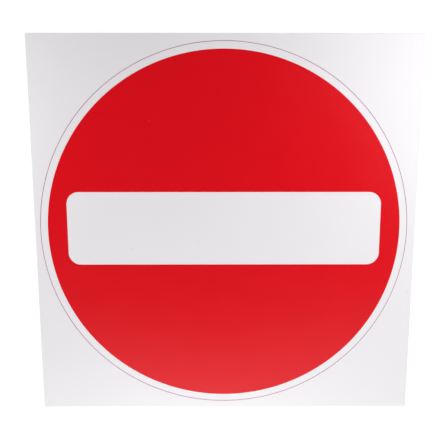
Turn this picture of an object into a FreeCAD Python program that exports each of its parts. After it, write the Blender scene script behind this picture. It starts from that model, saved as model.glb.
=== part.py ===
"""No entry sign: a square white sheet with a red disc, a white bar and a hairline ring in print.

Frame: the sheet lies on its back with its face up. +Z points out of the printed face, +Y points
to the sign's top, +X to the right as the sign is read. The origin is the centre of the back face.
All sizes are in millimetres.
"""
import FreeCAD, Part
import os

# The roundel, as printed
RING_DIAMETER = 600.0  # middle of the hairline ring, the nominal size of the sign
RING_LINE_WIDTH = 0.7  # width of the hairline, a two-point printed line
WHITE_BORDER = 12.0  # from the middle of the hairline to the rim of the red disc
BAR_END_GAP = 32.0  # red left beyond each end of the bar, where the disc is widest
BAR_HEIGHT = 121.0
BAR_CORNER_RADIUS = 20.0
BAR_RAISE = 2.0  # the bar sits this far above the disc's centre
PRINT_THICKNESS = 0.2  # film of colour on the sheet's face

# The sheet
SHEET_MARGIN = 11.0  # from the hairline to the sheet's edge, before the print's sideways shift
SHEET_THICKNESS = 3.0
EDGE_BREAK = 0.25  # small bevel along every cut edge
PRINT_SHIFT_LEFT = 2.25  # the print sits this far left of the sheet's middle

# Worked out from the sizes above
SHEET_SIDE = RING_DIAMETER + 2 * SHEET_MARGIN
DISC_RADIUS = RING_DIAMETER / 2 - WHITE_BORDER
BAR_LENGTH = 2 * (DISC_RADIUS - BAR_END_GAP)
PRINT_CENTRE = FreeCAD.Vector(-PRINT_SHIFT_LEFT, 0, SHEET_THICKNESS)
BAR_CENTRE = PRINT_CENTRE + FreeCAD.Vector(0, BAR_RAISE, 0)


def make_sign_sheet():
    """The square plate, centred on the origin, with every edge slightly broken."""
    corner = FreeCAD.Vector(-SHEET_SIDE / 2, -SHEET_SIDE / 2, 0)
    plate = Part.makeBox(SHEET_SIDE, SHEET_SIDE, SHEET_THICKNESS, corner)
    return plate.makeChamfer(EDGE_BREAK, plate.Edges)


def corner_arc(centre, radius, start_angle):
    """A quarter circle that runs anticlockwise from start_angle, in degrees."""
    up = FreeCAD.Vector(0, 0, 1)
    return Part.makeCircle(radius, centre, up, start_angle, start_angle + 90)


def rounded_bar_outline(length, height, radius, centre):
    """A closed wire: a level bar with four round corners, anticlockwise from its right end."""
    half_length = length / 2
    half_height = height / 2
    arc_centres = (
        (half_length - radius, half_height - radius, 0),
        (-half_length + radius, half_height - radius, 90),
        (-half_length + radius, -half_height + radius, 180),
        (half_length - radius, -half_height + radius, 270),
    )
    arcs = []
    for x, y, start_angle in arc_centres:
        arcs.append(corner_arc(centre + FreeCAD.Vector(x, y, 0), radius, start_angle))
    edges = []
    for arc, next_arc in zip(arcs, arcs[1:] + arcs[:1]):
        edges.append(arc)
        edges.append(Part.makeLine(arc.Vertexes[-1].Point, next_arc.Vertexes[0].Point))
    return Part.Wire(edges)


def make_red_disc():
    """The red field: a thin disc, opened through by the rounded bar."""
    rim = Part.Wire(Part.makeCircle(DISC_RADIUS, PRINT_CENTRE))
    bar = rounded_bar_outline(BAR_LENGTH, BAR_HEIGHT, BAR_CORNER_RADIUS, BAR_CENTRE)
    field = Part.Face(rim).cut(Part.Face(bar)).Faces[0]
    return field.extrude(FreeCAD.Vector(0, 0, PRINT_THICKNESS))


def make_trim_line():
    """The hairline ring round the white border, centred on the red disc."""
    outer = Part.makeCylinder(
        (RING_DIAMETER + RING_LINE_WIDTH) / 2, PRINT_THICKNESS, PRINT_CENTRE
    )
    inner = Part.makeCylinder(
        (RING_DIAMETER - RING_LINE_WIDTH) / 2, PRINT_THICKNESS, PRINT_CENTRE
    )
    return outer.cut(inner)


def main():
    """Build each piece and write it to its own STEP file."""
    os.makedirs("parts", exist_ok=True)
    pieces = {
        "sign_sheet": make_sign_sheet(),
        "red_disc": make_red_disc(),
        "trim_line": make_trim_line(),
    }
    for name, shape in pieces.items():
        shape.exportStep("parts/" + name + ".step")
        box = shape.BoundBox
        print(name, len(shape.Solids), "solid", round(box.XLength, 2), round(box.YLength, 2),
              round(box.ZLength, 2), "valid", shape.isValid())


main()
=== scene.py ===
"""Looks of a no entry sign: a white plastic sheet with a red disc and a hairline ring in print.

Units are metres, in the part's own frame: the sheet lies on its back on the floor, +Z points out
of the printed face and +Y to the sign's top. The origin is the centre of the sheet's back face.
Colours are linear.
"""

import logging
import math
from dataclasses import dataclass
from enum import Enum

import bmesh
import bpy
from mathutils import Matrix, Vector


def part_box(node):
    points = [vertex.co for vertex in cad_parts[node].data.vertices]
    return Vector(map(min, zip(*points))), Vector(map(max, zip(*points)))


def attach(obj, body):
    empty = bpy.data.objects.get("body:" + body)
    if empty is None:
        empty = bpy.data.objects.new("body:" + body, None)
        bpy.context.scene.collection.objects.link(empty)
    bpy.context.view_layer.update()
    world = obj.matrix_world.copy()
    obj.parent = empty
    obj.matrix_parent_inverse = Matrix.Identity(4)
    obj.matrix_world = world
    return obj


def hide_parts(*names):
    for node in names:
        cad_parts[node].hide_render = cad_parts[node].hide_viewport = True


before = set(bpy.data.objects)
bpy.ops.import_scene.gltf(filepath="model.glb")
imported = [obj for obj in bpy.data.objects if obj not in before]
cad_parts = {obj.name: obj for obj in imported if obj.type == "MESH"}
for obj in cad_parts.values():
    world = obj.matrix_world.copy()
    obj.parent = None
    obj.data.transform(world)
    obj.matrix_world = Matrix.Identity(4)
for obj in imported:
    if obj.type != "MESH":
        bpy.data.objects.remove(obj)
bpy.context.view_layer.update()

BODY = "root"
LOG = logging.getLogger("no_entry_sign")

NOISE_LOW = 0.25
NOISE_HIGH = 0.75

Colour = tuple[float, float, float]
Outline = list[Vector]
Socket = bpy.types.NodeSocket
Feed = Socket | float | Vector | tuple[float, ...]


class Slot(Enum):
    """The record's material slots, one for each finish of the sign."""

    WHITE_SHEET = "white_sheet"
    RED_PRINT = "red_print"
    LINE_PRINT = "line_print"


class Grain(Enum):
    """Ways that a surface pattern can run, as scales of it along X, Y and Z."""

    EVEN = (1.0, 1.0, 1.0)
    ALONG_THE_CUT = (0.02, 0.02, 1.0)


class Mixed(Enum):
    """What a mix node blends: its data type, and the ending of its sockets' identifiers."""

    NUMBER = ("FLOAT", "_Float")
    COLOUR = ("RGBA", "_Color")


def grey(level: float) -> tuple[float, float, float, float]:
    """Give a neutral colour of that level, with full alpha."""
    return (level, level, level, 1.0)


@dataclass(frozen=True)
class NodeBench:
    """Helper that lays out the shader nodes of a material or of the studio's walls.

    Attributes:
        tree: The node tree that it works on.
    """

    tree: bpy.types.NodeTree

    @classmethod
    def cleared(cls, owner: bpy.types.Material | bpy.types.World) -> "NodeBench":
        """Take the nodes of a material or a world, and clear them.

        Args:
            owner: The material or the world.

        Returns:
            A bench for its nodes.
        """
        owner.use_nodes = True
        owner.node_tree.nodes.clear()
        return cls(owner.node_tree)

    def feed(self, target: Socket, source: Feed) -> None:
        """Give an input its value, by a link or as a constant.

        Args:
            target: The input.
            source: An output to link, or the constant.
        """
        if isinstance(source, Socket):
            self.tree.links.new(source, target)
        else:
            target.default_value = source

    def add(
        self, kind: str, inputs: dict[str, Feed] | None = None, **settings: object
    ) -> bpy.types.Node:
        """Add a node.

        Args:
            kind: The node's type, such as ShaderNodeMath.
            inputs: Names of its inputs and what each is fed.
            **settings: Properties of the node and their values.

        Returns:
            The new node.
        """
        node = self.tree.nodes.new(kind)
        for name, value in settings.items():
            setattr(node, name, value)
        for name, source in (inputs or {}).items():
            self.feed(node.inputs[name], source)
        return node

    def calculate(self, operation: str, first: Feed, second: Feed = 0.0) -> Socket:
        """Do a sum with one or two numbers.

        Args:
            operation: The operation, such as MULTIPLY.
            first: The first number.
            second: The second number, where the operation takes one.

        Returns:
            The result.
        """
        node = self.add("ShaderNodeMath", operation=operation)
        self.feed(node.inputs[0], first)
        self.feed(node.inputs[1], second)
        return node.outputs["Value"]

    def mix(self, what: Mixed, share: Feed, first: Feed, second: Feed) -> Socket:
        """Blend two numbers or two colours.

        Args:
            what: Whether they are numbers or colours.
            share: How much of the second one shows, 0 to 1.
            first: What shows at 0.
            second: What shows at 1.

        Returns:
            The blend.
        """
        data_type, ending = what.value
        node = self.add("ShaderNodeMix", data_type=data_type)
        inputs = {socket.identifier: socket for socket in node.inputs}
        outputs = {socket.identifier: socket for socket in node.outputs}
        self.feed(inputs["Factor_Float"], share)
        self.feed(inputs["A" + ending], first)
        self.feed(inputs["B" + ending], second)
        return outputs["Result" + ending]

    def place(self) -> Socket:
        """Give the place on the part, in its own frame."""
        return self.add("ShaderNodeTexCoord").outputs["Object"]

    def noise(self, feature: float, detail: float = 2.0, grain: Grain = Grain.EVEN) -> Socket:
        """Add a noise pattern fixed to the part.

        Args:
            feature: The size of its features.
            detail: How many finer layers it has.
            grain: The way that it runs.

        Returns:
            The noise, spread over 0 to 1.
        """
        stretch = self.add("ShaderNodeMapping", {"Vector": self.place(), "Scale": grain.value})
        texture = self.add(
            "ShaderNodeTexNoise",
            {"Vector": stretch.outputs["Vector"], "Scale": 1.0 / feature, "Detail": detail},
        )
        spread = self.add(
            "ShaderNodeMapRange",
            {"Value": texture.outputs["Fac"], "From Min": NOISE_LOW, "From Max": NOISE_HIGH},
            interpolation_type="SMOOTHSTEP",
        )
        return spread.outputs["Result"]

    def relief(self, height: Socket, depth: float, under: Socket | None = None) -> Socket:
        """Raise and sink the surface by a pattern.

        Args:
            height: The pattern, 0 to 1.
            depth: How far 1 stands above 0.
            under: A coarser relief that this one lies on.

        Returns:
            The surface normal.
        """
        bump = self.add("ShaderNodeBump", {"Height": height, "Distance": depth})
        if under is not None:
            self.feed(bump.inputs["Normal"], under)
        return bump.outputs["Normal"]

    def surface(self, shader: bpy.types.Node, output: str = "ShaderNodeOutputMaterial") -> None:
        """Join a shader to a new output node of the material or the world."""
        self.feed(self.add(output).inputs["Surface"], shader.outputs[0])

    def seen(self) -> Socket:
        """Tell rays that see or mirror a surface from rays that gather even light.

        Returns:
            1 for a view, a reflection or a look through, 0 for even light.
        """
        rays = self.add("ShaderNodeLightPath").outputs
        mirrored = self.calculate("MAXIMUM", rays["Is Camera Ray"], rays["Is Glossy Ray"])
        return self.calculate("MAXIMUM", mirrored, rays["Is Transmission Ray"])


@dataclass(frozen=True)
class Dent:
    """A small shallow dent in the printed face, whose middle may be painted darker as painted
    shade.

    Attributes:
        place: Its middle.
        reach: Its radius.
        depth: How deep it is.
        painted_shade: Share of its middle that is painted darker, as painted shade of the pit.
        painted_shade_colour: Colour of that painted shade.
    """

    place: tuple[float, float, float]
    reach: float
    depth: float
    # Painted shade: the dent's middle is painted darker for the light that the pit loses.
    painted_shade: float = 0.0
    painted_shade_colour: Colour = (0.08, 0.07, 0.065)

    def press(self, bench: NodeBench, under: Socket) -> Socket:
        """Press the dent into a material's relief, and give the new surface normal."""
        return bench.relief(self._bowl(bench, 0.0, 1.0), self.depth, under)

    def paint_shade(self, bench: NodeBench, unshaded_colour: Socket) -> Socket:
        """Lay the dent's painted shade over a material's unshaded colour, and give the new
        colour.
        """
        # Painted shade: the colour darkens towards the dent's middle.
        share = self._bowl(bench, self.painted_shade, 0.0)
        return bench.mix(Mixed.COLOUR, share, unshaded_colour, (*self.painted_shade_colour, 1.0))

    def _bowl(self, bench: NodeBench, middle: float, rim: float) -> Socket:
        """Spread a number smoothly over the dent.

        Args:
            bench: The material's bench.
            middle: The number in the middle of the dent.
            rim: The number at its rim and beyond.

        Returns:
            The number at each point.
        """
        away = bench.add("ShaderNodeVectorMath", operation="DISTANCE")
        bench.feed(away.inputs[0], bench.place())
        bench.feed(away.inputs[1], self.place)
        spread = bench.add(
            "ShaderNodeMapRange",
            {
                "Value": away.outputs["Value"],
                "From Max": self.reach,
                "To Min": middle,
                "To Max": rim,
            },
            interpolation_type="SMOOTHSTEP",
        )
        return spread.outputs["Result"]


@dataclass(frozen=True)
class FaceWearAndShade:
    """A face's fine grain and dents over a slow unevenness, and painted shade in the dents.

    Attributes:
        grain_size: Size of the fine grain.
        grain_depth: Depth of that grain.
        dents: The dents.
        unevenness_size: Size of the slow unevenness.
        unevenness_depth: Depth of that unevenness.
    """

    grain_size: float = 0.0013
    grain_depth: float = 0.000003
    dents: tuple[Dent, ...] = ()
    unevenness_size: float = 0.12
    unevenness_depth: float = 0.00006

    def relief(self, bench: NodeBench) -> Socket:
        """Shape a material's surface.

        Args:
            bench: The material's bench.

        Returns:
            The surface normal.
        """
        slow = bench.noise(self.unevenness_size, detail=1.0)
        normal = bench.relief(slow, self.unevenness_depth)
        normal = bench.relief(bench.noise(self.grain_size), self.grain_depth, normal)
        for dent in self.dents:
            normal = dent.press(bench, normal)
        return normal

    def paint_shade(self, bench: NodeBench, unshaded_colour: Socket) -> Socket:
        """Lay the dents' painted shade on a material.

        Args:
            bench: The material's bench.
            unshaded_colour: The colour without the painted shade.

        Returns:
            The colour with the painted shade.
        """
        # Each dent's painted shade goes over the colour in turn.
        colour = unshaded_colour
        for dent in self.dents:
            colour = dent.paint_shade(bench, colour)
        return colour


@dataclass(frozen=True)
class SheetFinish:
    """Satin white plastic, with duller cut edges.

    Attributes:
        face: Colour of the face and back.
        cloud: The same colour where the sheet is a shade darker.
        cut: Colour of the cut edges.
        cloud_size: Size of the lighter and darker clouds.
        sheen_size: Size of the shinier and duller patches.
        satin: Roughness of the face and back, from and to.
        cut_roughness: Roughness of the cut edges.
        wear_and_shade: Grain and dents of the face, and painted shade in the dents.
        saw_mark_size: Spacing of the saw marks on the cut edges.
        saw_mark_depth: Depth of the saw marks.
        facing_limit: Least upward share of a normal that still counts as face or back.
    """

    face: Colour = (0.817, 0.797, 0.822)
    cloud: Colour = (0.809, 0.789, 0.814)
    cut: Colour = (0.76, 0.75, 0.755)
    cloud_size: float = 0.09
    sheen_size: float = 0.045
    satin: tuple[float, float] = (0.19, 0.21)
    cut_roughness: float = 0.65
    wear_and_shade: FaceWearAndShade = FaceWearAndShade(
        grain_size=0.0011,
        grain_depth=0.000004,
        dents=(
            # Painted shade darkens the middles of these three dents.
            Dent((-0.1536, -0.0320, 0.003), reach=0.0034, depth=0.0001, painted_shade=0.085),
            Dent((-0.0442, -0.0199, 0.003), reach=0.0052, depth=0.0001, painted_shade=0.03),
            Dent((0.3035, -0.1055, 0.003), reach=0.0050, depth=0.0001, painted_shade=0.06),
        ),
    )
    saw_mark_size: float = 0.0004
    saw_mark_depth: float = 0.00003
    facing_limit: float = 0.9

    def material(self) -> bpy.types.Material:
        """Build the material of the sheet.

        Returns:
            The new material.
        """
        material = bpy.data.materials.new("satin_white_plastic")
        bench = NodeBench.cleared(material)
        facing = self._facing(bench)
        clouds = bench.noise(self.cloud_size, detail=3.0)
        face = bench.mix(Mixed.COLOUR, clouds, (*self.face, 1.0), (*self.cloud, 1.0))
        # Painted shade in the dents, laid over the sheet's own colour.
        face = self.wear_and_shade.paint_shade(bench, face)
        satin = bench.mix(Mixed.NUMBER, bench.noise(self.sheen_size), *self.satin)
        shader = bench.add(
            "ShaderNodeBsdfPrincipled",
            {
                "Base Color": bench.mix(Mixed.COLOUR, facing, (*self.cut, 1.0), face),
                "Roughness": bench.mix(Mixed.NUMBER, facing, self.cut_roughness, satin),
                "Normal": self._relief(bench, facing),
            },
        )
        bench.surface(shader)
        return material

    def _facing(self, bench: NodeBench) -> Socket:
        """Tell the face and back from the cut edges.

        Args:
            bench: The material's bench.

        Returns:
            1 on the face and back, 0 on the cut edges.
        """
        normal = bench.add("ShaderNodeNewGeometry").outputs["True Normal"]
        axes = bench.add("ShaderNodeSeparateXYZ", {"Vector": normal})
        upright = bench.calculate("ABSOLUTE", axes.outputs["Z"])
        return bench.calculate("GREATER_THAN", upright, self.facing_limit)

    def _relief(self, bench: NodeBench, facing: Socket) -> Socket:
        """Lay the face's grain, dents and unevenness on the sheet, and saw marks on its cut
        edges.

        Args:
            bench: The material's bench.
            facing: 1 on the face and back, 0 on the cut edges.

        Returns:
            The surface normal.
        """
        lines = bench.noise(self.saw_mark_size, grain=Grain.ALONG_THE_CUT)
        marks = bench.mix(Mixed.NUMBER, facing, lines, 0.0)
        return bench.relief(marks, self.saw_mark_depth, self.wear_and_shade.relief(bench))


@dataclass(frozen=True)
class InkFinish:
    """A printed film of one colour, satin, with a faint unevenness of ink.

    Attributes:
        name: The material's name.
        full: Colour where the ink is fullest.
        thin: Colour where it is a shade thinner.
        mottle_size: Size of the fuller and thinner patches.
        sheen_size: Size of the shinier and duller patches.
        satin: Roughness, from and to.
        wear_and_shade: Grain and dents of the film, and painted shade in any dents that have it.
    """

    name: str
    full: Colour
    thin: Colour
    mottle_size: float = 0.035
    sheen_size: float = 0.07
    satin: tuple[float, float] = (0.19, 0.21)
    wear_and_shade: FaceWearAndShade = FaceWearAndShade()

    def material(self) -> bpy.types.Material:
        """Build the material of the ink.

        Returns:
            The new material.
        """
        material = bpy.data.materials.new(self.name)
        bench = NodeBench.cleared(material)
        mottle = bench.noise(self.mottle_size, detail=4.0)
        sheen = bench.noise(self.sheen_size, detail=1.0)
        ink = bench.mix(Mixed.COLOUR, mottle, (*self.full, 1.0), (*self.thin, 1.0))
        shader = bench.add(
            "ShaderNodeBsdfPrincipled",
            {
                # Painted shade from any dent that has some, laid over the ink.
                "Base Color": self.wear_and_shade.paint_shade(bench, ink),
                "Roughness": bench.mix(Mixed.NUMBER, sheen, *self.satin),
                "Normal": self.wear_and_shade.relief(bench),
            },
        )
        bench.surface(shader)
        return material


RED_INK = InkFinish(
    "red_print_ink",
    full=(0.700, 0.0050, 0.0112),
    thin=(0.710, 0.0054, 0.0118),
    wear_and_shade=FaceWearAndShade(dents=(Dent((-0.1206, 0.1743, 0.0032), reach=0.004, depth=0.00042),)),
)
LINE_INK = InkFinish("magenta_line_ink", full=(0.37, 0.010, 0.17), thin=(0.39, 0.012, 0.18))


@dataclass
class SignSheet:
    """The white sheet, which keeps the shape of its solid.

    Attributes:
        node: Name of the solid.
        slot: Its material slot, which is not used.
        finish: Its white plastic.
    """

    node: str = "sign_sheet"
    slot: Slot = Slot.WHITE_SHEET
    finish: SheetFinish = SheetFinish()

    def build(self) -> bpy.types.Object:
        """Give the sheet's solid its finish.

        Returns:
            The sheet's object.
        """
        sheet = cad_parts[self.node]
        sheet.data.materials.clear()
        sheet.data.materials.append(self.finish.material())
        return sheet


@dataclass(frozen=True)
class FilmPlace:
    """Where a printed film lies, as read from its plain solid.

    Attributes:
        middle: The middle of its underside, on the sheet's face.
        radius: Its outer radius.
        thickness: Its thickness.
    """

    middle: Vector
    radius: float
    thickness: float

    @classmethod
    def of(cls, node: str) -> "FilmPlace":
        """Read the place of a film.

        Args:
            node: Name of its solid.

        Returns:
            The place.
        """
        low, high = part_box(node)
        middle = (low + high) / 2
        middle.z = low.z
        return cls(middle, (high.x - low.x) / 2, high.z - low.z)

    def circle(self, radius: float, angles: list[float]) -> Outline:
        """Place points on a circle round the film's middle, at angles from +X towards +Y."""
        return arc(self.middle, radius, angles)


def arc(centre: Vector, radius: float, angles: list[float]) -> Outline:
    """Place points on a level arc, at angles in radians from +X towards +Y."""
    return [centre + Vector((math.cos(a), math.sin(a), 0.0)) * radius for a in angles]


@dataclass
class PrintedFilm:
    """A film of ink on the sheet's face, closed between an outer and an inner outline.

    Attributes:
        name: The piece's name.
        node: Name of the plain solid that it stands for.
        slot: Its material slot, which is not used.
        finish: Its ink.
        easing: Rounding of its upper rims.
    """

    name: str
    node: str
    slot: Slot
    finish: InkFinish
    easing: float = 0.00003

    def build(self) -> bpy.types.Object:
        """Build the film in place of its plain solid.

        Returns:
            The film's object.
        """
        place = FilmPlace.of(self.node)
        outer, inner = self.outlines(place)
        piece = self._band(outer, inner, place.thickness)
        piece.data.materials.append(self.finish.material())
        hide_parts(self.node)
        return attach(piece, BODY)

    def outlines(self, place: FilmPlace) -> tuple[Outline, Outline]:
        """Trace the film's outer outline, and an inner one with a point beside each outer one."""
        raise NotImplementedError

    def _band(self, outer: Outline, inner: Outline, thickness: float) -> bpy.types.Object:
        """Build a closed band between two outlines, with its upper rims slightly eased.

        Args:
            outer: The outer outline, at the band's underside.
            inner: The inner outline, at the band's underside.
            thickness: The band's thickness.

        Returns:
            The new object.
        """
        rise = Vector((0.0, 0.0, thickness))
        shoulder = Vector((0.0, 0.0, thickness - self.easing))
        mesh = bmesh.new()
        sections = []
        for rim, hole in zip(outer, inner):
            inward = (hole - rim).normalized() * self.easing
            profile = (
                rim,
                rim + shoulder,
                rim + rise + inward,
                hole + rise - inward,
                hole + shoulder,
                hole,
            )
            sections.append([mesh.verts.new(point) for point in profile])
        for section, following in zip(sections, sections[1:] + sections[:1]):
            for step, vertex in enumerate(section):
                after = (step + 1) % len(section)
                mesh.faces.new((vertex, following[step], following[after], section[after]))
        bmesh.ops.recalc_face_normals(mesh, faces=mesh.faces)
        data = bpy.data.meshes.new(self.name)
        mesh.to_mesh(data)
        mesh.free()
        piece = bpy.data.objects.new(self.name, data)
        bpy.context.scene.collection.objects.link(piece)
        return piece


@dataclass
class RedField(PrintedFilm):
    """The printed red disc, open at the level bar.

    Attributes:
        bar_length: Length of the bar.
        bar_height: Height of the bar.
        bar_corner: Radius of the bar's corners.
        bar_raise: How far the bar sits above the disc's centre.
        corner_steps: Steps in each corner.
        side_step: Angle of a step along the bar's sides, as seen from the disc's centre.
    """

    name: str = "red_field"
    node: str = "red_disc"
    slot: Slot = Slot.RED_PRINT
    finish: InkFinish = RED_INK
    bar_length: float = 0.512
    bar_height: float = 0.121
    bar_corner: float = 0.020
    bar_raise: float = 0.002
    corner_steps: int = 24
    side_step: float = math.radians(0.5)

    def outlines(self, place: FilmPlace) -> tuple[Outline, Outline]:
        """Trace the disc's rim and the bar, with a point of the rim beyond each of the bar's.

        Args:
            place: Where the disc lies.

        Returns:
            The rim and the bar.
        """
        bar = self._bar(place.middle)
        angles = [math.atan2(*(point - place.middle).yx) for point in bar]
        return place.circle(place.radius, angles), bar

    def _bar(self, middle: Vector) -> Outline:
        """Trace the bar anticlockwise, from its upper right corner.

        Args:
            middle: The disc's centre.

        Returns:
            Points of the round corners, and points along the sides that are evenly spread as
            seen from the disc's centre.
        """
        corner = Vector((self.bar_corner, self.bar_corner))
        inset = Vector((self.bar_length, self.bar_height)) / 2 - corner
        quarter = math.pi / 2
        corners = []
        for turns, (side_x, side_y) in enumerate(((1, 1), (-1, 1), (-1, -1), (1, -1))):
            reach = Vector((side_x * inset.x, side_y * inset.y + self.bar_raise, 0.0))
            angles = [
                quarter * (turns + step / self.corner_steps)
                for step in range(self.corner_steps + 1)
            ]
            corners.append(arc(middle + reach, self.bar_corner, angles))
        outline = []
        for points, following in zip(corners, corners[1:] + corners[:1]):
            outline += points
            outline += self._side(middle, points[-1], following[0])
        return outline

    def _side(self, middle: Vector, start: Vector, end: Vector) -> Outline:
        """Divide a straight side of the bar, as seen from the disc's centre.

        Args:
            middle: The disc's centre.
            start: The side's first end, which isn't given again.
            end: Its other end, which isn't either.

        Returns:
            The points between them.
        """
        first = (start - middle).to_2d()
        last = (end - middle).to_2d()
        turn = math.atan2(first.cross(last), first.dot(last))
        steps = math.ceil(turn / self.side_step)
        points = []
        for step in range(1, steps):
            angle = math.atan2(first.y, first.x) + turn * step / steps
            way = Vector((math.cos(angle), math.sin(angle)))
            reach = first.cross(last) / way.cross(last - first)
            points.append(middle + (way * reach).to_3d())
        return points


@dataclass
class HairlineRing(PrintedFilm):
    """The thin ring printed round the white border.

    Attributes:
        width: Width of the line.
        steps: Steps round the ring.
    """

    name: str = "hairline_ring"
    node: str = "trim_line"
    slot: Slot = Slot.LINE_PRINT
    finish: InkFinish = LINE_INK
    width: float = 0.0007
    steps: int = 720

    def outlines(self, place: FilmPlace) -> tuple[Outline, Outline]:
        """Trace the line's outer and inner circles.

        Args:
            place: Where the line lies.

        Returns:
            The outer circle and the inner one.
        """
        angles = [math.tau * step / self.steps for step in range(self.steps)]
        inner = place.circle(place.radius - self.width, angles)
        return place.circle(place.radius, angles), inner


@dataclass(frozen=True)
class SoftLamp:
    """One soft studio lamp, a square panel that gives light and isn't seen or mirrored itself.

    Attributes:
        name: The lamp's name.
        place: Where the panel's middle is.
        side: The panel's side.
        power: Its power, in watts.
    """

    name: str
    place: tuple[float, float, float]
    side: float
    power: float

    def hang(self) -> None:
        """Hang the lamp, aimed at the sheet."""
        data = bpy.data.lights.new(self.name, "AREA")
        data.shape = "SQUARE"
        data.size = self.side
        data.energy = self.power
        lamp = bpy.data.objects.new(self.name, data)
        lamp.location = self.place
        lamp.rotation_mode = "QUATERNION"
        lamp.rotation_quaternion = (-Vector(self.place)).to_track_quat("-Z", "Y")
        lamp.visible_camera = False
        lamp.visible_glossy = False
        bpy.context.scene.collection.objects.link(lamp)


@dataclass(frozen=True)
class Floor:
    """A plain white floor that stays white in view and keeps the sheet's shadow.

    Attributes:
        side: Side of the floor.
        bounce: Share of the light that it throws back on the sheet's edges.
        glow: Level that a seen floor has by itself.
        lit: Level that the lamps add to a seen floor.
    """

    side: float = 24.0
    bounce: float = 0.3
    glow: float = 0.88
    lit: float = 0.18

    def lay(self) -> None:
        """Lay the floor under the sheet."""
        half = self.side / 2
        corners = [(-half, -half, 0.0), (half, -half, 0.0), (half, half, 0.0), (-half, half, 0.0)]
        data = bpy.data.meshes.new("studio_floor")
        data.from_pydata(corners, [], [(0, 1, 2, 3)])
        data.materials.append(self._material())
        floor = bpy.data.objects.new("studio_floor", data)
        bpy.context.scene.collection.objects.link(floor)

    def _material(self) -> bpy.types.Material:
        """Build the floor's material.

        Returns:
            The new material.
        """
        material = bpy.data.materials.new("studio_floor_white")
        bench = NodeBench.cleared(material)
        seen = bench.seen()
        colour = bench.mix(Mixed.COLOUR, seen, grey(self.bounce), grey(self.lit))
        matt = bench.add("ShaderNodeBsdfDiffuse", {"Color": colour})
        strength = bench.calculate("MULTIPLY", seen, self.glow)
        glow = bench.add("ShaderNodeEmission", {"Strength": strength})
        both = bench.add("ShaderNodeAddShader")
        bench.feed(both.inputs[0], matt.outputs["BSDF"])
        bench.feed(both.inputs[1], glow.outputs["Emission"])
        bench.surface(both)
        return material


@dataclass(frozen=True)
class Walls:
    """Plain walls, white above and grey at the foot, under a dark ceiling, and their even light.

    The grey foot and the ceiling are mirrored by the sign only: in view, all is plain white.

    Attributes:
        fill: Level of the even light that the walls throw on the sheet.
        white: Level of the walls where they are seen or mirrored, and of the whole backdrop.
        ceiling: How dark the ceiling is beside the walls.
        ceiling_way: Where the ceiling's middle is, as seen from the sheet.
        ceiling_reach: Angle from there at which the ceiling starts to turn into wall.
        wall_start: Angle from there at which it is all wall.
        foot: How dark the walls are at the foot, beside their white part.
        foot_height: How high the foot reaches, as an angle seen from the sheet.
        white_height: Angle from which the walls are all white.
    """

    fill: float = 1.16
    white: float = 1.0
    ceiling: float = 0.006
    ceiling_way: tuple[float, float, float] = (-0.036, 0.776, 1.0)
    ceiling_reach: float = math.radians(59.4)
    wall_start: float = math.radians(61.2)
    foot: float = 0.3
    foot_height: float = math.radians(15)
    white_height: float = math.radians(45)

    def paint(self) -> None:
        """Paint the walls and the ceiling."""
        world = bpy.data.worlds.new("studio")
        bench = NodeBench.cleared(world)
        way = bench.add("ShaderNodeTexCoord").outputs["Generated"]
        towards = bench.add("ShaderNodeVectorMath", operation="DOT_PRODUCT")
        bench.feed(towards.inputs[0], way)
        bench.feed(towards.inputs[1], Vector(self.ceiling_way).normalized())
        level = bench.add(
            "ShaderNodeMapRange",
            {
                "Value": towards.outputs["Value"],
                "From Min": math.cos(self.wall_start),
                "From Max": math.cos(self.ceiling_reach),
                "To Min": 1.0,
                "To Max": self.ceiling,
            },
        )
        foot = bench.add(
            "ShaderNodeMapRange",
            {
                "Value": bench.add("ShaderNodeSeparateXYZ", {"Vector": way}).outputs["Z"],
                "From Min": math.sin(self.foot_height),
                "From Max": math.sin(self.white_height),
                "To Min": self.foot,
                "To Max": 1.0,
            },
        )
        wall = bench.mix(Mixed.NUMBER, bench.seen(), self.fill, self.white)
        shade = bench.calculate("MULTIPLY", level.outputs["Result"], foot.outputs["Result"])
        lit = bench.calculate("MULTIPLY", wall, shade)
        camera = bench.add("ShaderNodeLightPath").outputs["Is Camera Ray"]
        strength = bench.mix(Mixed.NUMBER, camera, lit, self.white)
        shader = bench.add("ShaderNodeBackground", {"Color": grey(1.0), "Strength": strength})
        bench.surface(shader, "ShaderNodeOutputWorld")
        bpy.context.scene.world = world


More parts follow.
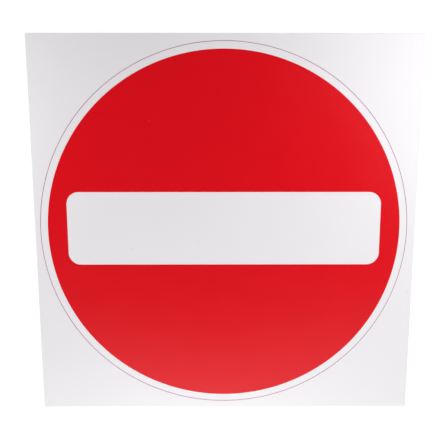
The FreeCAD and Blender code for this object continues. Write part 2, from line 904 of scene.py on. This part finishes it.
@dataclass(frozen=True)
class Viewpoint:
    """The camera, over the upper half of the sign and tipped towards its foot.

    Attributes:
        place: Where the camera is.
        tip: How far it is tipped towards the sign's foot, from straight down.
        swing: How far it is swung to the sign's right.
        lens: Focal length, in millimetres.
        sensor: Width of the sensor, in millimetres.
    """

    place: tuple[float, float, float] = (-0.0102, 0.2064, 1.0400)
    tip: float = math.radians(10.56)
    swing: float = math.radians(0.27)
    lens: float = 52.27
    sensor: float = 36.0

    def set_up(self) -> None:
        """Make the camera and take it as the scene's own."""
        data = bpy.data.cameras.new("camera")
        data.lens = self.lens
        data.sensor_width = self.sensor
        camera = bpy.data.objects.new("camera", data)
        camera.location = self.place
        camera.rotation_euler = (-self.tip, -self.swing, 0.0)
        bpy.context.scene.collection.objects.link(camera)
        bpy.context.scene.camera = camera


@dataclass(frozen=True)
class Studio:
    """A plain white studio: its floor, its walls, its soft lamps and its camera.

    Attributes:
        floor: The floor.
        walls: The walls and ceiling.
        lamps: The soft lamps.
        viewpoint: The camera's place.
    """

    floor: Floor = Floor()
    walls: Walls = Walls()
    lamps: tuple[SoftLamp, ...] = (
        SoftLamp("right_lamp", (0.498, 0.264, 0.375), side=0.60, power=2.64),
        SoftLamp("front_lamp", (-0.054, -0.928, 0.578), side=0.69, power=8.16),
        SoftLamp("left_lamp", (-0.640, 0.212, 0.242), side=0.31, power=1.31),
    )
    viewpoint: Viewpoint = Viewpoint()

    def build(self) -> None:
        """Lay the floor, paint the walls, hang the lamps and set up the camera."""
        bpy.context.scene.view_settings.view_transform = "Standard"
        self.floor.lay()
        self.walls.paint()
        for lamp in self.lamps:
            lamp.hang()
        self.viewpoint.set_up()


def main() -> None:
    """Build the sign and its studio, and report each piece."""
    logging.basicConfig(level=logging.INFO, format="%(name)s: %(message)s")
    for assembly in (SignSheet(), RedField(), HairlineRing()):
        piece = assembly.build()
        LOG.info("built %s, %d faces", piece.name, len(piece.data.polygons))
    Studio().build()


if __name__ == "__main__":
    main()
